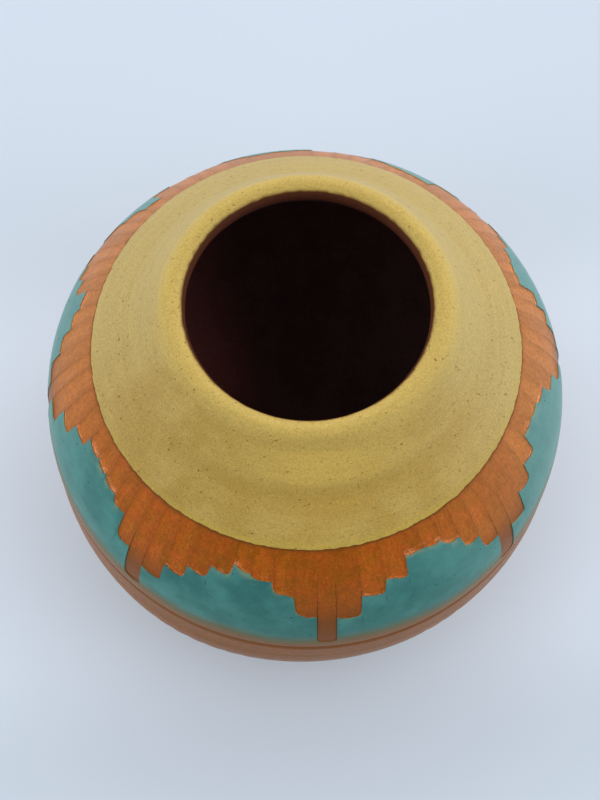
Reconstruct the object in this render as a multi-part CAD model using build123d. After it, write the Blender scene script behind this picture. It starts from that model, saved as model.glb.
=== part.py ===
"""A small clay vase: a thrown body with a carved, stepped band, and the coats painted on it.

Lengths are in millimetres and angles in degrees. The origin is the centre of the foot, on the
surface that the vase stands on, and +Z runs up the axis of the vase.
"""

import os
from math import asin, cos, hypot, radians, sin, tan

from build123d import *

# The body, measured on the outer face of the bare clay.
BELLY_RADIUS = 60.0
BELLY_HEIGHT = 47.4  # height of the widest circle above the foot
SHOULDER_RISE = 50.9  # upper half-height of the ellipse that the shoulder follows
SHOULDER_USED = 40.0  # the ellipse is used up to here, inside the root of the neck
BELLY_STRAIGHT = 8.0  # the upright stretch just below the widest circle
UNDER_RADIUS = 41.0  # the round from there to the foot
WALL = 5.2

# The neck and its rolled lip.
THROAT_RADIUS = 25.9
LIP_RADIUS = WALL / 2
LIP_HEIGHT = 97.6  # height of the middle of the rolled lip
NECK_SLOPE = 58.0  # below the horizontal
NECK_RUN = 24.0  # long enough to end inside the shoulder
FOLD_RADIUS = 9.0  # where the neck turns into the shoulder

# The coats.
SLIP = 0.35
GLAZE = 0.35
MOUTH_EDGE_RADIUS = 26.9  # the neck slip stops here, and the glaze starts
NECK_SLIP_HEIGHT = 78.9  # lower edge of the neck slip

# The carving.
CARVED_DEPTH = 0.8
GROOVE_RADIUS = 0.7
GROOVE_HEIGHT = 46.9
BELLY_SLIP_HEIGHT = GROOVE_HEIGHT + 1.0
STEM_ANGLES = (-90, -45, 0, 39, 76, 113, 140, 180, 225)  # degrees; the nine motifs stand by eye
STEM_WIDTH = 4.2  # degrees round the vase
STEM_RUN = 31.0  # measured down the surface from the neck slip
LEFT_WIDTH = 4.8
LEFT_RUNS = (18.1, 12.3, 8.8)  # from the stem outwards
RIGHT_WIDTH = 5.2
RIGHT_RUNS = (20.1, 14.5, 11.6, 8.2)
ARCH_RUN = 5.8  # between one motif and the next
CUTTER_REACH = BELLY_RADIUS + 10
PROUD = 1.0  # how far a cutter stands out of the surface


def lip_centre():
    return Vector(THROAT_RADIUS + LIP_RADIUS, LIP_HEIGHT)


def neck_directions():
    """Down the neck, and square to it away from the axis."""
    slope = radians(NECK_SLOPE)
    return Vector(cos(slope), -sin(slope)), Vector(sin(slope), cos(slope))


def neck_section(offset):
    """Everything inside the neck, up to a cut square across the wall at the lip's centre."""
    down, outward = neck_directions()
    top = lip_centre() + outward * (LIP_RADIUS + offset)
    bottom = top + down * NECK_RUN
    on_axis = lip_centre().Y - lip_centre().X / tan(radians(NECK_SLOPE))
    return make_face(Polyline((0, on_axis), top, bottom, (0, bottom.Y), close=True))


def shoulder_section(offset):
    half = Ellipse(BELLY_RADIUS + offset, SHOULDER_RISE + offset)
    quarter = Rectangle(CUTTER_REACH, SHOULDER_USED, align=(Align.MIN, Align.MIN))
    return Pos(0, BELLY_HEIGHT) * (half & quarter)


def lower_section(offset):
    """From the widest circle to the foot, or to the floor of the hollow."""
    radius = UNDER_RADIUS + offset
    floor = -offset
    centre = Vector(BELLY_RADIUS - UNDER_RADIUS, BELLY_HEIGHT - BELLY_STRAIGHT)
    end = asin((centre.Y - floor) / radius)
    start, middle, foot = [
        centre + Vector(radius * cos(angle), -radius * sin(angle)) for angle in (0, end / 2, end)
    ]
    widest = Vector(BELLY_RADIUS + offset, BELLY_HEIGHT)
    outline = [
        Line((0, BELLY_HEIGHT), widest),
        Line(widest, start),
        ThreePointArc(start, middle, foot),
        Line(foot, (0, floor)),
        Line((0, floor), (0, BELLY_HEIGHT)),
    ]
    return make_face(outline)


def inside_section(offset):
    """Half-section of all that lies inside a face this far out from the clay's outer face."""
    section = lower_section(offset) + shoulder_section(offset) + neck_section(offset)
    down, outward = neck_directions()
    near_fold = lip_centre() + outward * (LIP_RADIUS + offset) + down * NECK_RUN / 2
    fold = section.vertices().sort_by_distance(near_fold)[0]
    return fillet(fold, FOLD_RADIUS - offset)


def lip_section(radius):
    return Pos(lip_centre().X, lip_centre().Y) * Circle(radius)


def turned(section):
    """The solid made by turning a half-section once round the axis."""
    return revolve(Plane.XZ * section, Axis.Z)


def body_of_clay():
    wall = inside_section(0) - inside_section(-WALL)
    return turned(wall + lip_section(LIP_RADIUS))


def band(low, high):
    """A tall ring cutter that keeps what lies between two heights."""
    return Pos(0, 0, low) * Cylinder(
        CUTTER_REACH, high - low, align=(Align.CENTER, Align.CENTER, Align.MIN)
    )


def height_after(run):
    """Height reached by following the shoulder down from the neck slip for this length."""
    angle = asin((NECK_SLIP_HEIGHT - BELLY_HEIGHT) / SHOULDER_RISE)
    step = radians(0.05)
    while run > 0:
        run -= step * hypot(BELLY_RADIUS * sin(angle), SHOULDER_RISE * cos(angle))
        angle -= step
    return BELLY_HEIGHT + SHOULDER_RISE * sin(angle)


def gouge(start, end, run):
    """A wedge of space between two directions, from the neck slip down to the end of a cut."""
    low = height_after(run)
    sides = [(CUTTER_REACH * cos(radians(a)), CUTTER_REACH * sin(radians(a))) for a in (start, end)]
    wedge = extrude(make_face(Polyline((0, 0), *sides, close=True)), NECK_SLIP_HEIGHT - low)
    return Pos(0, 0, low) * wedge


def motif():
    """The cuts of one stepped pendant: its stem, and the steps on each side of it."""
    cuts = [gouge(-STEM_WIDTH / 2, STEM_WIDTH / 2, STEM_RUN)]
    for i, run in enumerate(RIGHT_RUNS):
        start = STEM_WIDTH / 2 + i * RIGHT_WIDTH
        cuts.append(gouge(start, start + RIGHT_WIDTH, run))
    for i, run in enumerate(LEFT_RUNS):
        end = -STEM_WIDTH / 2 - i * LEFT_WIDTH
        cuts.append(gouge(end - LEFT_WIDTH, end, run))
    return cuts


def carved_space():
    """All the space that the carving opens, reaching from the axis to outside the vase."""
    cuts = [band(height_after(ARCH_RUN), NECK_SLIP_HEIGHT)]
    for angle in STEM_ANGLES:
        cuts += [Rot(0, 0, angle) * cut for cut in motif()]
    return cuts[0].fuse(*cuts[1:])


def groove():
    ring = Pos(BELLY_RADIUS + GROOVE_RADIUS / 3, GROOVE_HEIGHT) * Circle(GROOVE_RADIUS)
    return turned(ring)


def clay_body(carving):
    skin = turned(inside_section(PROUD) - inside_section(-CARVED_DEPTH))
    return body_of_clay() - (skin & carving) - groove()


def neck_slip():
    """The coat on the neck, over the lip and down to the edge of the mouth."""
    coated = inside_section(SLIP) + lip_section(LIP_RADIUS + SLIP)
    coat = turned(coated - inside_section(0) - lip_section(LIP_RADIUS))
    mouth = Cylinder(MOUTH_EDGE_RADIUS, 4 * LIP_HEIGHT)
    return (coat & band(NECK_SLIP_HEIGHT, 2 * LIP_HEIGHT)) - mouth


def belly_slip(carving):
    """The coat on the belly, cut through by the carving."""
    coat = turned(inside_section(SLIP) - inside_section(0))
    return (coat & band(BELLY_SLIP_HEIGHT, NECK_SLIP_HEIGHT)) - carving


def interior_glaze():
    """The lining of the hollow, up round the inside of the lip to the edge of the mouth."""
    lining = inside_section(-WALL) - inside_section(-WALL - GLAZE)
    round_lip = lip_section(LIP_RADIUS + GLAZE) - lip_section(LIP_RADIUS) - inside_section(0)
    mouth = Rectangle(MOUTH_EDGE_RADIUS, 4 * LIP_HEIGHT, align=(Align.MIN, Align.CENTER))
    return turned(lining + (round_lip & mouth))


def main():
    os.makedirs("parts", exist_ok=True)
    carving = carved_space()
    nodes = {
        "clay_body": clay_body(carving),
        "neck_slip": neck_slip(),
        "belly_slip": belly_slip(carving),
        "interior_glaze": interior_glaze(),
    }
    for name, shape in nodes.items():
        export_step(shape, f"parts/{name}.step")


main()
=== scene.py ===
"""A carved clay vase, slip-painted, on a pale floor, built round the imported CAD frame.

The vase is one turned shape with four layers: the clay body, a coat of slip on the neck, a coat on
the belly, and the lining of the hollow. Each is a grid laid over the same half-section: rows go
round the vase, and columns follow the section. Shapes are worked out in millimetres, angles in
degrees round the axis (-90 is the front), and a "run" is a length down the outer face from the
lower edge of the neck slip. A "lift" is a height above the face of the bare clay.
"""

from collections import namedtuple
from math import asin, atan2, cos, degrees, radians, sin

import bmesh
import bpy
import numpy as np
from mathutils import Matrix, Vector, noise


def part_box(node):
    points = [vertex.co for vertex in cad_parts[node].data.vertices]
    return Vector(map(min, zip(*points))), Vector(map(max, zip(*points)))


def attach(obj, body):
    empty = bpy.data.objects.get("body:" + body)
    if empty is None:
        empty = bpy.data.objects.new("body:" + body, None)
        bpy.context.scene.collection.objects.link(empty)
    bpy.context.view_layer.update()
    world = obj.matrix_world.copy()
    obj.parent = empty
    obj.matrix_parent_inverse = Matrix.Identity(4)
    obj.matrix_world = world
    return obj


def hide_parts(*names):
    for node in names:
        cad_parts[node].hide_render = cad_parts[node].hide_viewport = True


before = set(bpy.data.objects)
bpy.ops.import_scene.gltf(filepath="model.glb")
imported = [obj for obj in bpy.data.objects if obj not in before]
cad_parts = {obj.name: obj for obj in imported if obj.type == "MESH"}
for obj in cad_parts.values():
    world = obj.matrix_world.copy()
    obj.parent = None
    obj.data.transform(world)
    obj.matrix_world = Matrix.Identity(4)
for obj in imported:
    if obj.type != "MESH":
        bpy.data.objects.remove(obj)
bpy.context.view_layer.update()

MM = 0.001

# The section of the clay, as the CAD model has it.
BELLY_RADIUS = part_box("clay_body")[1].x / MM
BELLY_HEIGHT = 47.4
SHOULDER_RISE = 50.9
BELLY_STRAIGHT = 8.0
UNDER_RADIUS = 41.0
WALL = 5.2
LIP_RADIUS = WALL / 2
LIP_CENTRE = np.array((28.5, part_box("clay_body")[1].z / MM - LIP_RADIUS))
NECK_SLOPE = 58.0
FOLD_RADIUS = 9.0
MOUTH_ANGLE = 141.0  # where on the lip's round the slip meets the lining
MOUTH_DRIFT = 0.62  # how much further in it reaches at the front
NECK_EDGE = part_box("neck_slip")[0].z / MM
BELLY_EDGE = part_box("belly_slip")[0].z / MM
GROOVE_HEIGHT = BELLY_EDGE - 1.0
FULLER_RUN = 20.0  # the run where the shoulder stands proud of the CAD, at the sides and back
FULLER_LENGTH = 8.0
FULLER_RISE = 0.65
COAT = 0.14
SUNK = -0.12  # the hidden face of a coat lies this far inside the clay

# The carving. Each pendant is listed from the front one on, to its right in turn.
Pendant = namedtuple("Pendant", "angle left stem right widths", defaults=((5.0, 5.5),))
PENDANTS = [
    Pendant(-90, (8.6, 12.0, 18.7), 30.9, (20.5, 14.6, 11.6), (5.2, 5.8)),
    Pendant(-45, (9.3, 13.2, 18.0), 31.4, (20.8, 14.8, 11.2), (4.6, 5.3)),
    Pendant(0, (9.0, 13.4, 18.4), 31.0, (20.4, 16.0, 12.4), (5.0, 4.2)),
    Pendant(39, (9.0, 13.8, 18.0), 30.8, (20.0, 14.2)),
    Pendant(76, (8.0, 10.3, 17.8), 31.0, (19.6, 10.6, 9.0)),
    Pendant(113, (8.5, 12.0, 18.6), 31.2, (20.2, 14.4)),
    Pendant(142, (12.2, 18.4), 30.9, (20.4, 16.2, 12.8), (4.4, 4.8)),
    Pendant(180, (7.6, 9.8, 13.6, 19.8), 31.0, (19.3, 14.0, 9.8), (4.9, 5.7)),
    Pendant(225, (8.3, 10.4, 17.7), 29.8, (20.6, 15.4, 12.1, 8.8), (4.6, 5.2)),
]
STEM_WIDTH = 4.2
ARCH_WIDTH = 4.6
ARCH_RUNS = (6.2, 7.4)  # the cuts between pendants get longer from left to right
SLANT = 0.8  # the end of each step reaches this much lower on its right
BULGE = 0.35  # the end of each cut is rounded by this much
TAPER = 0.3  # each side of a step leans in by this much
RECESS = 0.1  # depth of the ridges between cuts
SCOOP = 0.16  # how much deeper the middle of a cut is
CORNER = (1.2, 1.6)  # how far round a step's free corner goes, across it and up it
LINE_DEPTH = 0.2
GROOVE_DEPTH = 0.4
GROOVE_DIP = 0.8  # the groove sags by this much at the front
DEEPEST = -105.0  # where round the vase the colours are deepest, in painted shade
NECK_FRONT = -93.0  # the middle of the neck's patch of painted light, and of the painted shade under its fold
SWELLING_ANGLE = -125.0  # where the pot is a little fuller under the belly
SWELLING_RISE = 0.7
SWELLING_ELSEWHERE = 0.15
MARK_ROWS = ((-130, 8), (-66, 3))  # the first angle, and the count, of each row of tool marks
MARK_STEP = 4.2
MARK_RUN = 14.5  # from the groove to the middle of the marks
MARK_DEPTH = 0.1


# --- the half-section ------------------------------------------------------------------------

def arc(centre, radii, start, end, count=240):
    turn = np.radians(np.linspace(start, end, count))
    across, up = (middle + radius * trig(turn)
                  for middle, radius, trig in zip(centre, radii, (np.cos, np.sin)))
    return np.column_stack((across, up))


def shoulder_fold(offset):
    """The round between neck and shoulder: its centre, and where it meets the ellipse below."""
    outward = np.array((sin(radians(NECK_SLOPE)), cos(radians(NECK_SLOPE))))
    neck = LIP_CENTRE + outward * (LIP_RADIUS + offset)
    radius = FOLD_RADIUS - offset
    wide, tall = BELLY_RADIUS + offset, SHOULDER_RISE + offset
    low, high = radians(20), radians(75)
    for _ in range(40):
        turn = (low + high) / 2
        facing = atan2(sin(turn) / tall, cos(turn) / wide)
        centre = np.array((wide * cos(turn) + radius * cos(facing),
                           BELLY_HEIGHT + tall * sin(turn) + radius * sin(facing)))
        if (centre - neck) @ outward > radius:
            low = turn
        else:
            high = turn
    return centre, degrees(turn), degrees(facing)


def wall_face(offset):
    """One face of the wall, this far out from the outer one, from the lip down to the axis."""
    centre, turn, facing = shoulder_fold(offset)
    under = (BELLY_RADIUS - UNDER_RADIUS, BELLY_HEIGHT - BELLY_STRAIGHT)
    radius = UNDER_RADIUS + offset
    end = degrees(asin((under[1] + offset) / radius))
    return np.vstack((
        arc(centre, (FOLD_RADIUS - offset,) * 2, 270 - NECK_SLOPE, 180 + facing),
        arc((0, BELLY_HEIGHT), (BELLY_RADIUS + offset, SHOULDER_RISE + offset), turn, 0),
        arc(under, (radius, radius), 0, -end),
        [(0, -offset)],
    ))


def half_section():
    """Evenly spaced points from the middle of the hollow's floor, over the lip, to the foot."""
    lip = arc(LIP_CENTRE, (LIP_RADIUS,) * 2, 270 - NECK_SLOPE, 90 - NECK_SLOPE)
    outline = np.vstack((wall_face(-WALL)[::-1], lip, wall_face(0)))
    length = np.append(0, np.cumsum(np.hypot(*np.diff(outline, axis=0).T)))
    even = np.arange(0, length[-1], 0.05)
    points = np.column_stack([np.interp(even, length, outline[:, k]) for k in (0, 1)])
    along = np.gradient(points, axis=0)
    along /= np.hypot(*along.T)[:, None]
    return points, np.column_stack((-along[:, 1], along[:, 0])), even


SECTION, FACING, LENGTH = half_section()


def mark(r, z, start=0):
    """How far along the section its nearest point to (r, z) is."""
    return LENGTH[np.hypot(*(SECTION - (r, z)).T).argmin()] - start


def outer_mark(z):
    """How far along the section its outer face passes this height."""
    outer = np.where(LENGTH > mark(*LIP_CENTRE + (LIP_RADIUS, LIP_RADIUS)))[0]
    return LENGTH[outer[np.abs(SECTION[outer, 1] - z).argmin()]]


ZERO = outer_mark(NECK_EDGE)
MOUTH = mark(*arc(LIP_CENTRE, (LIP_RADIUS,) * 2, MOUTH_ANGLE, 0, 2)[0], ZERO)
LIP_START = mark(*arc(LIP_CENTRE, (LIP_RADIUS,) * 2, 270 - NECK_SLOPE, 0, 2)[0], ZERO)
LIP_END = mark(*arc(LIP_CENTRE, (LIP_RADIUS,) * 2, 90 - NECK_SLOPE, 0, 2)[0], ZERO)
FLOOR = -ZERO
BELLY_RUN = outer_mark(BELLY_EDGE) - ZERO
GROOVE_RUN = outer_mark(GROOVE_HEIGHT) - ZERO
FOOT_RUN = mark(*wall_face(0)[-2], ZERO)
AXIS_RUN = LENGTH[-1] - ZERO


def in_front(angles):
    """1 at the front, a half at the sides, and 0 at the back."""
    return 0.5 - 0.5 * np.sin(np.radians(angles))


def aside(angles, angle):
    """How many degrees round the vase each angle lies from this one, from -180 to 180."""
    return (angles - angle + 180) % 360 - 180


def hump(value, width):
    """1 where the value is 0, falling away evenly over this width on either side."""
    return np.exp(-(value / width) ** 2)


def place(angles, runs, lifts):
    """Points in the vase's frame, in mm, for angles, runs and lifts of the same shape."""
    at = runs + ZERO
    fuller = FULLER_RISE * hump(runs - FULLER_RUN, FULLER_LENGTH)
    lifts = lifts + fuller * (1 - in_front(angles) ** 3)
    r, z = (np.interp(at, LENGTH, SECTION[:, k]) for k in (0, 1))
    out, up = (np.interp(at, LENGTH, FACING[:, k]) for k in (0, 1))
    r = np.maximum(r + lifts * out, 0)
    turn = np.radians(angles)
    return np.stack((r * np.cos(turn), r * np.sin(turn), z + lifts * up), axis=-1)


def smooth(value, low, high):
    """0 below low, 1 above high, and an even turn between."""
    t = np.clip((value - low) / (high - low), 0, 1)
    return t * t * (3 - 2 * t)


def ripple(points, size, seed):
    """Smooth noise from about -1 to 1 with bumps this many mm wide."""
    shift = Vector((31.7, 12.3, 7.9)) * seed
    flat = points.reshape(-1, 3) / size
    return np.array([noise.noise(Vector(p) + shift) for p in flat]).reshape(points.shape[:-1])


# --- the carving -----------------------------------------------------------------------------

# Where the grid's columns stand across each cut, as shares of its width.
COLUMN_SHARES = np.array((0, 0.035, 0.1, 0.19, 0.3, 0.43, 0.56, 0.69, 0.81, 0.91, 0.97))
BAND_SIZE = 0.93  # the band's radius, as a share of the belly's
UNEVEN_REACH = 0.35  # each cut ends up to this much higher or lower than it should
LOW_STEP = 1  # a lower step than this has no round corner
TALL_STEP = 8  # a taller step than this is the side of a stem, and runs straight


def cuts_round_vase():
    """Every cut of the band in turn: the angles of its sides, and its reach at each of them."""
    cuts = []
    random = np.random.default_rng(7)
    for here, after in zip(PENDANTS, PENDANTS[1:] + PENDANTS[:1]):
        gap = (after.angle - here.angle) % 360
        half = SLANT / 2
        columns = [(STEM_WIDTH, here.stem, here.stem)]
        columns += [(here.widths[1], run - half, run + half) for run in here.right]
        rest = [(after.widths[0], run - half, run + half) for run in after.left]
        spare = gap - sum(column[0] for column in columns + rest)
        count = max(0, round(spare / ARCH_WIDTH))
        reach = np.linspace(*ARCH_RUNS, count + 1)
        columns += [(spare / count, reach[i], reach[i + 1]) for i in range(count)]
        columns += rest
        widths = np.array([column[0] for column in columns])
        widths *= gap / widths.sum()
        angle = here.angle - widths[0] / 2
        for width, (_, left, right) in zip(widths, columns):
            change = random.uniform(-UNEVEN_REACH, UNEVEN_REACH, 2)
            cuts.append([angle, angle + width, left + change[0], right + change[1]])
            angle += width
    return cuts


def across_cuts():
    """For each column of the grid: its angle, how far down the cut reaches, and its scoop.

    Also how its points lean: for the edge on either side, the lean at the foot of the edge, and
    the runs of its top and foot. Last, how straight it is kept: 1 at the side of a stem.
    """
    cuts = cuts_round_vase()
    random = np.random.default_rng(11)
    angles, ends, scoops, leans, steady = [], [], [], [], []
    for i, (start, stop, left, right) in enumerate(cuts):
        before, after = cuts[i - 1], cuts[(i + 1) % len(cuts)]
        width = radians(stop - start) * BELLY_RADIUS * BAND_SIZE
        across = COLUMN_SHARES * width
        round_off = BULGE * random.uniform(0.4, 1.8)
        end = left + (right - left) * COLUMN_SHARES
        end = end + round_off * (1 - (2 * COLUMN_SHARES - 1) ** 2)
        sides = ((left, before[3], across, 1), (right, after[2], width - across, -1))
        still = np.zeros_like(end)
        for own, other, distance, inward in sides:
            step = own - other
            if step > LOW_STEP:
                wide, tall = CORNER[0] * random.uniform(0.7, 1.2), min(CORNER[1], 0.7 * step)
                inside = np.clip(1 - distance / wide, 0, 1)
                end = end - tall * (1 - np.sqrt(1 - inside ** 2))
            nearby = np.clip(1 - distance / (0.5 * width), 0, 1) ** 1.5
            if abs(step) < TALL_STEP:
                lean = inward * np.sign(step) * TAPER * min(1, abs(step) / 4)
            else:
                lean = 0
                still = np.maximum(still, nearby)
            top, foot = min(own, other), max(own, other)
            leans.append(np.stack((lean * nearby, np.full_like(end, top), np.full_like(end, foot))))
        angles.append(start + (stop - start) * COLUMN_SHARES)
        steady.append(still)
        ends.append(end)
        scoops.append(np.sin(np.pi * COLUMN_SHARES ** 0.74) * random.uniform(0.1, 1.0))
    leans = np.concatenate(leans[::2], axis=1), np.concatenate(leans[1::2], axis=1)
    angles, ends, scoops, steady = (np.concatenate(part) for part in (angles, ends, scoops, steady))
    return angles, ends, scoops, leans, steady


ANGLES, ENDS, SCOOPS, LEANS, STEADY = across_cuts()


def leaning(runs):
    """How far sideways, in mm, each point of the carved grid moves for steps to lean in."""
    total = np.zeros_like(runs)
    for lean, top, foot in LEANS:
        growing = np.clip((runs - top) / (foot - top).clip(0.1), 0, 1)
        total += lean * growing * (1 - smooth(runs, foot, foot + 5))
    return total


def hand_cut(angles, runs, sideways=0, steady=0):
    """Moves points along the face a little, so that edges look cut by hand."""
    points = place(angles, runs, np.zeros_like(runs))
    size = (0.7 + 0.3 * smooth(runs, 0, 4)) * smooth(runs, -2, 0)
    size *= 1 - smooth(runs, BELLY_RUN - 6, BELLY_RUN - 2)
    wobble = (0.24 * ripple(points, 2.6, 1) + 0.1 * ripple(points, 0.9, 2)) * (1 - steady)
    down = 0.3 * ripple(points, 2.0, 3) + 0.3 * ripple(points, 0.8, 4)
    radius = np.hypot(points[..., 0], points[..., 1]).clip(1)
    return angles + np.degrees((wobble * size + sideways) / radius), runs + down * size


# --- meshes ----------------------------------------------------------------------------------

def rows(start, stop, count, last=False):
    """Rows of runs from start up to stop, each of them a number or one value for each column."""
    wide = [np.broadcast_to(np.asarray(v, float), ANGLES.shape) for v in (start, stop)]
    return np.linspace(*wide, count, endpoint=last)


def mesh_of(name, points, on_axis, masks):
    """A closed mesh over rows of points. Its first and last rows meet, or shrink to the axis."""
    count, across = points.shape[:2]
    number = np.arange(count * across).reshape(count, across)
    if on_axis:
        upper, lower = number[1:-2], number[2:-1]
    else:
        upper, lower = number, np.roll(number, -1, axis=0)
    ahead = [np.roll(part, -1, axis=1) for part in (upper, lower)]
    faces = np.stack((upper, lower, ahead[1], ahead[0]), axis=-1).reshape(-1, 4).tolist()
    if on_axis:
        for ring, tip in ((number[1], number[0, 0]), (number[-2][::-1], number[-1, 0])):
            faces += [(int(tip), int(a), int(b)) for a, b in zip(ring, np.roll(ring, -1))]
    mesh = bpy.data.meshes.new(name)
    mesh.from_pydata((points * MM).reshape(-1, 3).tolist(), [], faces)
    for mask, values in masks.items():
        kind, field = ("FLOAT_VECTOR", "vector") if values.ndim == 3 else ("FLOAT", "value")
        data = mesh.attributes.new(mask, kind, "POINT").data
        data.foreach_set(field, values.astype(np.float32).ravel())
    piece = bpy.data.objects.new(name, mesh)
    bpy.context.scene.collection.objects.link(piece)
    loose_out(mesh)
    mesh.shade_smooth()
    mesh.set_sharp_from_angle(angle=radians(38))
    return piece


def loose_out(mesh):
    """Removes the spare points of rows that have shrunk to the axis."""
    work = bmesh.new()
    work.from_mesh(mesh)
    bmesh.ops.delete(work, geom=[v for v in work.verts if not v.link_faces], context="VERTS")
    work.to_mesh(mesh)
    work.free()


def unrolled(angles, runs):
    """The face laid out flat round a drum, in mm, so that a texture can be drawn out along it."""
    turn = np.radians(angles)
    return np.stack((BELLY_RADIUS * np.cos(turn), BELLY_RADIUS * np.sin(turn), runs), axis=-1)


def turning_marks(points, runs, size):
    """Faint rings left by the wheel and the rib, not quite level all the way round."""
    drift = 0.5 * ripple(points, 25, 5)
    return size * (np.sin(runs * 1.9 + drift) + 0.6 * np.sin(runs * 4.3 + 2 * drift)) / 2


def clay_grid():
    """Runs and lifts of the clay's grid, from the hollow's floor over the lip to the foot.

    Also how deep the scoop of a cut is at each point, from 0 on the ridges between cuts.
    """
    level = np.zeros(ANGLES.size)
    front = in_front(ANGLES)

    # Under the coats the clay is kept back a little, and more so inside the hollow.
    inner = np.vstack((rows(FLOOR, FLOOR + 0.01, 1), rows(FLOOR + 1, LIP_START, 16)))
    hidden = np.vstack((inner, rows(LIP_START, LIP_END, 7), rows(LIP_END, -0.25, 11)))
    in_hollow = hidden < LIP_START - 1
    sunk = -(0.25 + 0.45 * in_hollow) * (1 - smooth(hidden, -4, -0.3))

    # The thin line cut along the edge of the neck slip.
    line_at = np.array((-0.08, 0.02, 0.14, 0.34, 0.5))[:, None] + level
    line_lift = np.array((0, -0.1, -LINE_DEPTH, -LINE_DEPTH, -0.17))[:, None] + level

    # The carved band, each cut a little shallower where it ends.
    carved = np.vstack((rows(0.62, ENDS - 0.7, 32), rows(ENDS - 0.7, ENDS, 5, True)))
    depth = RECESS + SCOOP * SCOOPS * (0.55 + 0.45 * smooth(carved, 0.5, 5))
    carved_lift = -depth * (1 - 0.4 * smooth(carved, ENDS - 0.8, ENDS))

    # The belly under its slip, the groove, and the bare clay from there to the foot.
    groove = GROOVE_RUN + GROOVE_DIP * front ** 2
    covered = np.vstack((rows(ENDS + 0.04, BELLY_RUN - 1.5, 5),
                         rows(BELLY_RUN - 1.5, groove - 2.4, 3)))
    groove_at = np.linspace(-2.2, 2.2, 13)[:, None] + level
    groove_lift = -GROOVE_DEPTH * hump(groove_at, 0.9) * (0.45 + 0.55 * front)
    below = np.vstack((rows(groove + 2.6, GROOVE_RUN + 8, 4),
                       rows(GROOVE_RUN + 8, GROOVE_RUN + 22, 12),
                       rows(GROOVE_RUN + 22, FOOT_RUN, 7, True)))
    foot = np.vstack((rows(FOOT_RUN + 0.8, AXIS_RUN - 0.6, 4), rows(AXIS_RUN, AXIS_RUN, 1)))

    parts = (
        (hidden, sunk, 0),
        (line_at, line_lift, 0),
        (carved, carved_lift, (depth - RECESS) / SCOOP),
        (covered, 0, 0),
        (groove + groove_at, groove_lift, 0),
        (below, 0, 0),
        (foot, 0, 0),
    )
    return [np.vstack([part[k] + np.zeros_like(part[0]) for part in parts]) for k in range(3)]


def clay_body():
    runs, lifts, scoop = clay_grid()
    angles = np.broadcast_to(ANGLES, runs.shape)
    plain = place(angles, runs, lifts)
    is_carved = smooth(runs, -0.1, 0) * (runs < ENDS + 0.02)
    lifts = lifts + is_carved * 0.05 * ripple(plain, 1.1, 6) * smooth(SCOOPS, 0, 0.3)
    marks = under_marks(angles, runs)
    is_bare = smooth(runs, GROOVE_RUN + 1.2, GROOVE_RUN + 3)
    is_bare = is_bare * (1 - smooth(runs, FOOT_RUN - 3, FOOT_RUN))
    lifts = lifts + is_bare * turning_marks(plain, runs, 0.05) - marks * MARK_DEPTH
    lifts = lifts + swelling(angles, runs)

    front = in_front(ANGLES)
    groove = GROOVE_RUN + GROOVE_DIP * front ** 2
    # Painted shade in the incised line under the neck slip and in the groove, which is darker at
    # the front.
    at_line = hump(runs - 0.26, 0.42)
    at_groove = hump(runs - groove, 1.8) * (0.3 + 0.5 * front)
    # Paler clay at the foot of each cut: torn clay on ragged stretches, and a painted highlight on
    # the end wall of every step.
    ragged = smooth(0.5 + 0.5 * ripple(plain, 1.6, 8), 0.35, 0.65)
    torn_width = 0.7 + 1.4 * (1 - smooth(ENDS, 7, 11))
    torn_and_painted_light = np.maximum(smooth(runs, ENDS - torn_width, ENDS - 0.1) * ragged,
                      0.8 * smooth(runs, ENDS - 0.17, ENDS))
    masks = {
        "unrolled": unrolled(angles, runs),
        "carved": is_carved,
        "scoop": scoop,
        "dark_line": np.maximum(at_line * is_carved, at_groove),
        "torn_and_painted_light": is_carved * torn_and_painted_light,
        "marks": marks,
        # Painted shade: the carved band is darker low down, from run 13 to 24.
        "low": is_carved * smooth(runs, 13, 24),
        "painted_side_light": painted_side_light(angles, runs),
    }
    new_angles, new_runs = hand_cut(angles, runs, leaning(runs), STEADY)
    points = place(new_angles, new_runs, lifts)
    points[0, :, :2] = 0
    points[-1, :, :2] = 0
    return mesh_of("carved_clay", points, True, masks)


def swelling(angles, runs):
    """The hand-made unevenness of the pot below its groove."""
    fuller = SWELLING_RISE * hump(aside(angles, SWELLING_ANGLE), 24) + SWELLING_ELSEWHERE
    begun = smooth(runs, GROOVE_RUN + 2, GROOVE_RUN + 14)
    return fuller * begun * (1 - smooth(runs, FOOT_RUN - 12, FOOT_RUN - 2))


def under_marks(angles, runs):
    """Short scooped tool marks in two places under the belly."""
    down = (runs - GROOVE_RUN - MARK_RUN) / 4.5
    total = np.zeros_like(runs)
    for first, count in MARK_ROWS:
        for i in range(count):
            off = aside(angles, first + MARK_STEP * i)
            total += np.exp(-2 * (off / 1.15) ** 2) * np.exp(-1.6 * down ** 2)
    return total


def mouth_drift(angles, runs):
    """How far the edge between slip and lining strays from a level ring."""
    return -MOUTH_DRIFT * in_front(angles) * hump(runs - MOUTH, 1.5)


def painted_side_light(angles, runs):
    """1 where painted light makes the surface paler, at the sides and back, and 0 in front, where
    painted shade leaves its colours deepest.
    """
    near = 0.5 + 0.5 * np.cos(np.radians(angles - DEEPEST))
    return (1 - smooth(near, 0.5, 0.97)) * np.ones_like(runs)


def coat_masks(angles, runs):
    return {"unrolled": unrolled(angles, runs), "painted_side_light": painted_side_light(angles, runs)}


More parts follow.
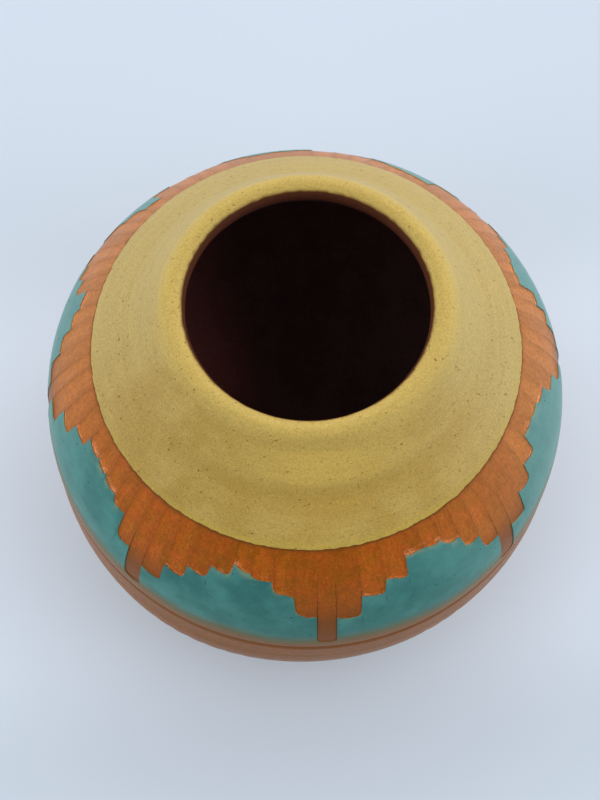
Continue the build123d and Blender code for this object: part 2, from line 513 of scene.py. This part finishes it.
def belly_slip():
    edge = ENDS + 0.07
    outer = np.vstack((rows(edge, edge, 2), rows(edge + 0.1, edge + 0.1, 1),
                       rows(edge + 0.35, BELLY_RUN - 0.4, 30),
                       rows(BELLY_RUN - 0.4, BELLY_RUN, 3, True)))
    back = rows(BELLY_RUN, edge, 7)
    thick = COAT * np.array((0, 0.45, 0.8) + (1,) * 30 + (0.5, 0.3, 0.1))[:, None]
    thinning = smooth(outer, BELLY_RUN - 7, BELLY_RUN)
    lifts = np.vstack((thick * (1 - 0.85 * thinning), np.full_like(back, SUNK)))
    lifts[0] = SUNK
    runs = np.vstack((outer, back))
    angles = np.broadcast_to(ANGLES, runs.shape)
    plain = place(angles, runs, lifts)
    is_outer = np.vstack((np.ones_like(outer), np.zeros_like(back)))
    from_edge = runs - ENDS

    # Worn along the carving, most of all in the arches, and faded out above the groove.
    in_arch = 1 - smooth(np.broadcast_to(ENDS, runs.shape), 8, 13)
    wide = 1.9 + 1.4 * ripple(plain, 9, 12)
    worn = is_outer * (1 - smooth(from_edge, 0, wide.clip(0.5))) * (0.25 + 0.75 * in_arch)
    fading = runs + 3 * np.cos(np.radians(angles)) ** 2 + 1.2 * ripple(plain, 14, 13)
    masks = coat_masks(angles, runs)
    masks["worn"] = np.maximum(worn, is_outer * (1 - smooth(from_edge, 0.1, 0.3)))
    masks["thin"] = smooth(fading, BELLY_RUN - 9, BELLY_RUN)

    away = smooth(from_edge, 0.2, 1.2) * (1 - smooth(runs, BELLY_RUN - 7, BELLY_RUN - 4))
    uneven = 0.03 * ripple(plain, 3, 14) + turning_marks(plain, runs, 0.02)
    lifts = lifts + is_outer * away * uneven
    new_angles, new_runs = hand_cut(angles, runs, leaning(runs), STEADY)
    return mesh_of("turquoise_coat", place(new_angles, new_runs, lifts), False, masks)


def ring_grid(columns, outer, back, thick):
    """Angles, runs and lifts of a coat whose rows are level, and where its outer side is."""
    turn = np.linspace(0, 360, columns, endpoint=False)
    level = np.zeros(columns)
    runs = np.concatenate((outer, back))[:, None] + level
    lifts = np.concatenate((thick, np.full(back.size, SUNK)))[:, None] + level
    is_outer = np.arange(runs.shape[0])[:, None] < outer.size
    return np.broadcast_to(turn, runs.shape), runs, lifts, is_outer


def neck_slip():
    outer = np.concatenate(((MOUTH, MOUTH, MOUTH + 0.1),
                            np.linspace(MOUTH + 0.3, LIP_END, 16),
                            np.linspace(LIP_END + 0.5, -0.35, 52), (-0.12, 0, 0)))
    back = np.concatenate((np.linspace(-0.3, LIP_END, 12),
                           np.linspace(LIP_END - 0.6, MOUTH + 0.3, 9)))
    thick = np.concatenate(((SUNK, 0.4 * COAT, 0.8 * COAT), np.full(68, COAT),
                            (0.85 * COAT, 0.5 * COAT, SUNK)))
    angles, runs, lifts, is_outer = ring_grid(540, outer, back, thick)
    plain = place(angles, runs, lifts)
    full = is_outer * smooth(runs, MOUTH + 0.3, MOUTH + 1.5) * (1 - smooth(runs, -1.2, -0.4))
    lifts = lifts + full * (0.05 * ripple(plain, 4, 21) + turning_marks(plain, runs, 0.06))

    off = aside(angles, NECK_FRONT)
    fold = runs + 11.5 + ripple(plain, 18, 23)
    on_neck = smooth(runs, LIP_END - 2, LIP_END + 4) * (1 - 0.6 * smooth(runs, -17, -13))
    masks = coat_masks(angles, runs)
    masks["lip"] = 1 - smooth(runs, LIP_END - 2.2, LIP_END + 4.5)
    masks["mouth"] = 1 - smooth(runs + 0.25 * ripple(plain, 1.5, 22), MOUTH, MOUTH + 0.9)
    # Painted shade: the crease under the neck's fold is darker at the front.
    masks["fold"] = hump(fold, 3.2) * hump(off, 50)
    masks["hem"] = smooth(runs, -2.2, -0.2) * hump(off, 60)
    # Painted light: the front of the neck is made lighter.
    masks["painted_front_light"] = hump(off, 30) * on_neck
    new_angles, new_runs = hand_cut(angles, runs)
    new_runs += mouth_drift(angles, runs)
    return mesh_of("ochre_coat", place(new_angles, new_runs, lifts), False, masks)


def lining():
    inner = np.concatenate(((FLOOR, FLOOR + 0.8), np.linspace(FLOOR + 3, LIP_START - 1, 70),
                            np.linspace(LIP_START - 0.5, MOUTH - 0.25, 14),
                            (MOUTH - 0.1, MOUTH - 0.02)))
    back = np.concatenate(((MOUTH - 0.02,), np.linspace(MOUTH - 0.6, LIP_START, 8),
                           np.linspace(LIP_START - 3, FLOOR + 0.8, 26), (FLOOR,)))
    thick = np.concatenate((np.full(inner.size - 2, COAT), (0.8 * COAT, 0.4 * COAT)))
    angles, runs, lifts, is_inner = ring_grid(288, inner, back, thick)
    plain = place(angles, runs, lifts)
    full = is_inner * (1 - smooth(runs, MOUTH - 1.2, MOUTH - 0.4))
    full = full * smooth(runs, FLOOR + 1, FLOOR + 4)
    lifts = lifts + full * (0.08 * ripple(plain, 7, 31) + turning_marks(plain, runs, 0.12))
    points = place(angles, runs + mouth_drift(angles, runs), lifts)
    points[0, :, :2] = 0
    points[-1, :, :2] = 0

    # Painted light on the side of the hollow that catches the light through the mouth.
    lit_side = smooth(-np.cos(np.radians(angles + 12)), 0.4, 1)
    masks = coat_masks(angles, runs)
    masks["edge"] = smooth(runs, LIP_START - 1, LIP_START + 1)
    masks["painted_light_inside"] = lit_side * smooth(runs, FLOOR + 12, FLOOR + 40)
    return mesh_of("dark_lining", points, True, masks)


# --- materials -------------------------------------------------------------------------------

def colour(red, green, blue):
    """A screen colour, 0 to 255, as the linear one that a shader takes."""
    shares = [v / 255 for v in (red, green, blue)]
    linear = [v / 12.92 if v < 0.04045 else ((v + 0.055) / 1.055) ** 2.4 for v in shares]
    return (*linear, 1.0)


class Paint:
    """A material under construction: each call adds a node and gives back its output."""

    def __init__(self, name):
        self.material = bpy.data.materials.new(name)
        self.material.use_nodes = True
        self.tree = self.material.node_tree
        self.shader = self.tree.nodes["Principled BSDF"]
        coordinates = self.tree.nodes.new("ShaderNodeTexCoord").outputs["Object"]
        self.mm = self.scaled(coordinates, (1 / MM,) * 3)

    def put(self, kind, inputs, output=0, **settings):
        """A new node. Each input is another node's output, or a plain value."""
        node = self.tree.nodes.new(kind)
        for key, value in settings.items():
            setattr(node, key, value)
        for key, value in inputs.items():
            if isinstance(value, bpy.types.NodeSocket):
                self.tree.links.new(value, node.inputs[key])
            else:
                node.inputs[key].default_value = value
        return node.outputs[output]

    def scaled(self, vector, by):
        return self.put("ShaderNodeVectorMath", {0: vector, 1: by}, operation="MULTIPLY")

    def mask(self, name):
        return self.put("ShaderNodeAttribute", {}, "Fac", attribute_name=name)

    def drawn_out(self, by):
        """Coordinates on the unrolled face, in mm, scaled differently round it and down it."""
        flat = self.put("ShaderNodeAttribute", {}, "Vector", attribute_name="unrolled")
        return self.scaled(flat, by)

    def noise(self, vector, scale, detail=2.0, rough=0.5):
        inputs = {"Vector": vector, "Scale": scale, "Detail": detail, "Roughness": rough}
        return self.put("ShaderNodeTexNoise", inputs, "Fac")

    def spread(self, value, low, high, to_low=0.0, to_high=1.0):
        """The value taken from one range to another, smoothly, and held at the ends."""
        inputs = {"Value": value, "From Min": low, "From Max": high,
                  "To Min": to_low, "To Max": to_high}
        return self.put("ShaderNodeMapRange", inputs, interpolation_type="SMOOTHSTEP")

    def math(self, operation, first, second):
        return self.put("ShaderNodeMath", {0: first, 1: second}, operation=operation)

    def mix(self, share, first, second, blend="MIX"):
        inputs = {0: share, 6: first, 7: second}
        return self.put("ShaderNodeMix", inputs, 2, data_type="RGBA", blend_type=blend)

    def shade(self, base, value):
        """The colour made lighter or darker by a factor near 1."""
        grey = self.put("ShaderNodeCombineColor", {0: value, 1: value, 2: value})
        return self.mix(1.0, base, grey, "MULTIPLY")

    def specks(self, scale, size, kept):
        """1 on small round spots: one in each cell of a grid, for this share of the cells."""
        cell = self.tree.nodes.new("ShaderNodeTexVoronoi")
        self.tree.links.new(self.mm, cell.inputs["Vector"])
        cell.inputs["Scale"].default_value = scale
        spot = self.spread(cell.outputs["Distance"], size * 0.5, size, 1.0, 0.0)
        chosen = self.put("ShaderNodeSeparateColor", {0: cell.outputs["Color"]})
        return self.math("MULTIPLY", spot, self.math("LESS_THAN", chosen, kept))

    def bump(self, height, distance, below=None):
        """A bump up to this many mm high, laid over the one below."""
        inputs = {"Height": height, "Distance": distance * MM, "Strength": 1.0}
        if below is not None:
            inputs["Normal"] = below
        return self.put("ShaderNodeBump", inputs)

    def finish(self, base, roughness, normal, specular):
        self.tree.links.new(base, self.shader.inputs["Base Color"])
        self.tree.links.new(roughness, self.shader.inputs["Roughness"])
        self.tree.links.new(normal, self.shader.inputs["Normal"])
        self.shader.inputs["Specular IOR Level"].default_value = specular
        return self.material


def bare_clay():
    """Fired clay: streaked and crumbly where it is carved, and smoother under the belly."""
    paint = Paint("bare_clay")
    streaks = paint.noise(paint.drawn_out((1.0, 1.0, 0.16)), 1.7, 4.0, 0.62)
    blotches = paint.noise(paint.mm, 0.28, 4.0, 0.6)
    mottle = paint.noise(paint.mm, 0.8, 5.0, 0.75)
    grain = paint.noise(paint.mm, 2.4, 3.0, 0.7)
    crumbs = paint.noise(paint.mm, 1.5, 4.0, 0.8)

    blotchy = paint.spread(blotches, 0.35, 0.65)
    carved = paint.mix(blotchy, colour(158, 89, 10), colour(174, 88, 18))
    # Painted light: the carved clay is paler at the sides and back than in front.
    carved = paint.mix(paint.mask("painted_side_light"), carved, colour(176, 115, 55))
    carved = paint.shade(carved, paint.spread(streaks, 0.3, 0.7, 0.9, 1.1))
    carved = paint.shade(carved, paint.spread(mottle, 0.36, 0.64, 0.9, 1.1))
    carved = paint.shade(carved, paint.spread(grain, 0.28, 0.72, 0.86, 1.13))
    carved = paint.mix(paint.spread(crumbs, 0.57, 0.67, 0.0, 0.6), carved, colour(208, 126, 48))
    # Torn clay and a painted highlight at the foot of each cut.
    torn_and_painted_light = paint.math("MULTIPLY", paint.mask("torn_and_painted_light"), paint.spread(grain, 0.4, 0.55))
    carved = paint.mix(torn_and_painted_light, carved, colour(222, 144, 84))
    # Painted shade: the carved clay is darker on the ridges between cuts and lighter in the middle
    # of each scoop.
    carved = paint.shade(carved, paint.spread(paint.mask("scoop"), 0.0, 0.7, 0.88, 1.07))
    # Painted shade: the carved band is darker low down.
    carved = paint.mix(paint.mask("low"), carved, colour(124, 70, 7))

    rings = paint.noise(paint.drawn_out((0.03, 0.03, 1.0)), 1.1, 3.0)
    skin = paint.mix(paint.spread(rings, 0.3, 0.7), colour(134, 84, 30), colour(144, 92, 40))
    skin = paint.shade(skin, paint.spread(mottle, 0.36, 0.64, 0.82, 1.18))
    marks = paint.math("MULTIPLY", paint.mask("marks"), 0.35)
    skin = paint.mix(marks, skin, colour(120, 70, 28))

    base = paint.mix(paint.mask("carved"), skin, carved)
    # Painted shade in the incised line and the groove.
    line = paint.math("MULTIPLY", paint.mask("dark_line"), paint.spread(grain, 0.1, 0.5, 0.75, 1.0))
    base = paint.mix(line, base, colour(120, 70, 20))
    normal = paint.bump(streaks, 0.05)
    normal = paint.bump(mottle, 0.08, normal)
    normal = paint.bump(grain, 0.05, normal)
    return paint.finish(base, paint.spread(grain, 0.3, 0.7, 0.28, 0.38), normal, 0.08)


def ochre_slip():
    """Yellow slip with brushed rings and small pits, darkest where it meets the lining."""
    paint = Paint("ochre_slip")
    patches = paint.noise(paint.mm, 0.11, 2.0)
    brush = paint.noise(paint.drawn_out((0.05, 0.05, 1.0)), 0.9, 4.0, 0.6)
    grain = paint.noise(paint.mm, 2.4, 4.0, 0.7)
    chips = paint.noise(paint.mm, 1.1, 3.0, 0.7)

    patchy = paint.spread(patches, 0.38, 0.62)
    base = paint.mix(patchy, colour(171, 144, 65), colour(182, 158, 79))
    # Painted light: the slip is paler at the sides and back than in front.
    base = paint.mix(paint.mask("painted_side_light"), base, colour(181, 162, 91))
    base = paint.mix(paint.mask("hem"), base, colour(184, 163, 66))
    # Painted shade in the crease under the fold, at the front.
    fold = paint.math("MULTIPLY", paint.mask("fold"), 0.7)
    base = paint.mix(fold, base, colour(163, 133, 52))
    # Painted light on the front of the neck.
    base = paint.mix(paint.mask("painted_front_light"), base, colour(206, 177, 84))
    base = paint.mix(paint.mask("lip"), base, colour(193, 170, 84))
    base = paint.shade(base, paint.spread(brush, 0.3, 0.7, 0.97, 1.03))
    base = paint.shade(base, paint.spread(grain, 0.28, 0.72, 0.83, 1.15))
    pits = paint.math("MAXIMUM", paint.spread(chips, 0.66, 0.695), paint.specks(1.5, 0.17, 0.16))
    base = paint.mix(paint.math("MULTIPLY", pits, 0.75), base, colour(112, 78, 24))
    base = paint.mix(paint.mask("mouth"), base, colour(92, 56, 20))
    normal = paint.bump(brush, 0.02)
    normal = paint.bump(grain, 0.08, normal)
    normal = paint.bump(paint.math("SUBTRACT", 1.0, pits), 0.12, normal)
    return paint.finish(base, paint.spread(grain, 0.3, 0.7, 0.34, 0.44), normal, 0.1)


def turquoise_slip():
    """Turquoise slip, scuffed pale along the carving and thinned to bare clay at its hem."""
    paint = Paint("turquoise_slip")
    patches = paint.noise(paint.mm, 0.1, 3.0)
    grain = paint.noise(paint.mm, 2.2, 4.0, 0.65)
    clouds = paint.noise(paint.mm, 0.3, 3.0, 0.6)

    patchy = paint.spread(patches, 0.35, 0.65)
    base = paint.mix(patchy, colour(54, 116, 104), colour(72, 136, 122))
    # Painted light: the slip is paler at the sides and back than in front.
    base = paint.mix(paint.mask("painted_side_light"), base, colour(93, 141, 128))
    base = paint.shade(base, paint.spread(clouds, 0.3, 0.7, 0.94, 1.06))
    base = paint.shade(base, paint.spread(grain, 0.28, 0.72, 0.92, 1.07))
    worn = paint.math("MULTIPLY", paint.mask("worn"), paint.spread(clouds, 0.4, 0.58, 0.0, 0.85))
    base = paint.mix(worn, base, colour(124, 148, 108))
    thin = paint.math("ADD", paint.mask("thin"), paint.spread(grain, 0.2, 0.8, -0.12, 0.12))
    base = paint.mix(paint.spread(thin, 0.0, 0.75), base, colour(96, 98, 56))
    base = paint.mix(paint.spread(thin, 0.6, 1.05), base, colour(126, 84, 26))
    base = paint.mix(paint.specks(0.5, 0.14, 0.25), base, colour(20, 78, 74))
    normal = paint.bump(clouds, 0.04)
    normal = paint.bump(grain, 0.03, normal)
    return paint.finish(base, paint.spread(grain, 0.3, 0.7, 0.28, 0.36), normal, 0.08)


def dark_glaze():
    """The lining: near black, with painted light making it redder on the side that catches the
    light.
    """
    paint = Paint("dark_glaze")
    patches = paint.noise(paint.mm, 0.12, 3.0)
    grain = paint.noise(paint.mm, 1.6, 3.0)
    base = paint.mix(paint.spread(patches, 0.35, 0.65), colour(88, 66, 58), colour(98, 74, 66))
    # Painted light on the lit side of the hollow.
    base = paint.mix(paint.mask("painted_light_inside"), base, colour(186, 118, 104))
    base = paint.mix(paint.mask("edge"), base, colour(78, 42, 22))
    base = paint.shade(base, paint.spread(grain, 0.3, 0.7, 0.88, 1.08))
    rough = paint.spread(patches, 0.3, 0.7, 0.75, 0.85)
    return paint.finish(base, rough, paint.bump(grain, 0.06), 0.1)


def floor_material():
    """A pale board, with painted light making it paler close beside the vase than in front of it or
    behind.
    """
    paint = Paint("pale_board")
    fibre = paint.noise(paint.mm, 0.8, 4.0)
    cloud = paint.noise(paint.mm, 0.006, 2.0)
    cloudy = paint.spread(cloud, 0.35, 0.65)
    base = paint.mix(cloudy, colour(212, 230, 225), colour(214, 232, 227))
    away = paint.put("ShaderNodeSeparateXYZ", {0: paint.mm}, 1)
    far = paint.put("ShaderNodeVectorMath", {0: paint.mm}, 1, operation="LENGTH")
    # Painted light: the board is paler in a patch beside the vase.
    beside = paint.math("MULTIPLY", paint.spread(away, -88.0, -30.0),
                        paint.spread(away, 20.0, 85.0, 1.0, 0.0))
    beside = paint.math("MULTIPLY", beside, paint.spread(far, 110.0, 190.0, 1.0, 0.0))
    base = paint.shade(base, paint.spread(beside, 0.0, 1.0, 0.9, 1.1))
    rough = paint.spread(fibre, 0.3, 0.7, 0.55, 0.65)
    return paint.finish(base, rough, paint.bump(fibre, 0.01), 0.3)


# --- the scene -------------------------------------------------------------------------------

def dress(piece, node, material):
    piece.data.materials.append(material)
    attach(piece, "root")
    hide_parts(node)


FLOOR_SIDES = 96
FLOOR_RADII = (0.2, 0.5, 1.0, 2.0, 3.0)  # in metres


def floor():
    """A flat round board, in rings."""
    turns = np.linspace(0, 2 * np.pi, FLOOR_SIDES, endpoint=False)
    points = [(0.0, 0.0, 0.0)]
    points += [(r * cos(t), r * sin(t), 0.0) for r in FLOOR_RADII for t in turns]
    around = [(1 + i, 1 + (i + 1) % FLOOR_SIDES) for i in range(FLOOR_SIDES)]
    faces = [(0, a, b) for a, b in around]
    for ring in range(len(FLOOR_RADII) - 1):
        inner, outer = ring * FLOOR_SIDES, (ring + 1) * FLOOR_SIDES
        faces += [(a + inner, a + outer, b + outer, b + inner) for a, b in around]
    mesh = bpy.data.meshes.new("floor")
    mesh.from_pydata(points, [], faces)
    board = bpy.data.objects.new("floor", mesh)
    board.data.materials.append(floor_material())
    bpy.context.scene.collection.objects.link(board)


# The room's glow, as lobes on a dark sky: where each one is, and how bright.
GLOW = (
    ((0.0, 0.97, 0.25), 1.75),
    ((-0.97, 0.0, 0.25), 1.99),
    ((0.97, 0.0, 0.25), 2.77),
    ((0.0, -0.64, 0.77), 0.26),
    ((-0.64, 0.0, 0.77), 0.23),
)
GLOW_TINT = (1.0, 0.95, 1.15, 1.0)
DARKEST = 0.02  # how bright the sky is away from every lobe
FOCUS = 3.0  # how tightly a lobe is gathered
BACKDROP = 0.72  # how bright the sky is where the camera sees it
BACKDROP_TINT = (0.88, 1.0, 1.14, 1.0)


def lights():
    world = bpy.data.worlds.new("studio")
    world.use_nodes = True
    tree = world.node_tree

    def put(kind, first, second, operation, output=0):
        node = tree.nodes.new(kind)
        node.operation = operation
        for socket, value in zip(node.inputs, (first, second)):
            if isinstance(value, bpy.types.NodeSocket):
                tree.links.new(value, socket)
            else:
                socket.default_value = value
        return node.outputs[output]

    def maths(operation, first, second):
        return put("ShaderNodeMath", first, second, operation)

    toward = tree.nodes.new("ShaderNodeTexCoord").outputs["Generated"]
    glow = DARKEST
    for middle, strength in GLOW:
        near = put("ShaderNodeVectorMath", toward, middle, "DOT_PRODUCT", "Value")
        lobe = maths("POWER", maths("MAXIMUM", near, 0.0), FOCUS)
        glow = maths("ADD", maths("MULTIPLY", lobe, strength), glow)
    seen = tree.nodes.new("ShaderNodeLightPath").outputs["Is Camera Ray"]
    unseen = maths("SUBTRACT", 1.0, seen)
    total = maths("ADD", maths("MULTIPLY", seen, BACKDROP), maths("MULTIPLY", unseen, glow))
    tint = tree.nodes.new("ShaderNodeMix")
    tint.data_type = "RGBA"
    tree.links.new(seen, tint.inputs[0])
    tint.inputs[6].default_value = GLOW_TINT
    tint.inputs[7].default_value = BACKDROP_TINT
    sky = tree.nodes["Background"]
    tree.links.new(total, sky.inputs["Strength"])
    tree.links.new(tint.outputs[2], sky.inputs["Color"])
    bpy.context.scene.world = world
    bpy.context.scene.view_settings.view_transform = "Standard"


# The camera stands in front of the vase and looks steeply down at it.
CAMERA_ELEVATION = 67.694
CAMERA_AZIMUTH = -6.4
CAMERA_DISTANCE = 402.2  # from the middle of the widest circle, in mm
CAMERA_ROLL = 1.853
PICTURE_HEIGHT = 800  # pixels
FOCAL_LENGTH = 1700.0  # in the same pixels
AIM_OFFSET = (4.9, -1.87)  # from the picture's middle to the aim, right and down, in pixels


def camera():
    data = bpy.data.cameras.new("camera")
    data.sensor_fit = "AUTO"
    data.sensor_width = 36.0
    data.lens = FOCAL_LENGTH * data.sensor_width / PICTURE_HEIGHT
    data.clip_start = 0.01
    view = bpy.data.objects.new("camera", data)
    lean = radians(CAMERA_ELEVATION)
    back = Vector((0, -cos(lean), sin(lean)))
    straight = (-back).to_track_quat("-Z", "Y").to_matrix()
    ahead = Vector((0, 0, -1))
    aimed = Vector((AIM_OFFSET[0], -AIM_OFFSET[1], -FOCAL_LENGTH)).rotation_difference(ahead)
    roll = Matrix.Rotation(radians(CAMERA_ROLL), 3, "Z")
    turn = Matrix.Rotation(radians(CAMERA_AZIMUTH), 4, "Z")
    pose = (straight @ roll @ aimed.to_matrix()).to_4x4()
    middle = Vector((0, 0, BELLY_HEIGHT * MM))
    pose.translation = middle + back * CAMERA_DISTANCE * MM
    view.matrix_world = turn @ pose
    bpy.context.scene.collection.objects.link(view)
    bpy.context.scene.camera = view


def main():
    dress(clay_body(), "clay_body", bare_clay())
    dress(neck_slip(), "neck_slip", ochre_slip())
    dress(belly_slip(), "belly_slip", turquoise_slip())
    dress(lining(), "interior_glaze", dark_glaze())
    floor()
    lights()
    camera()


main()
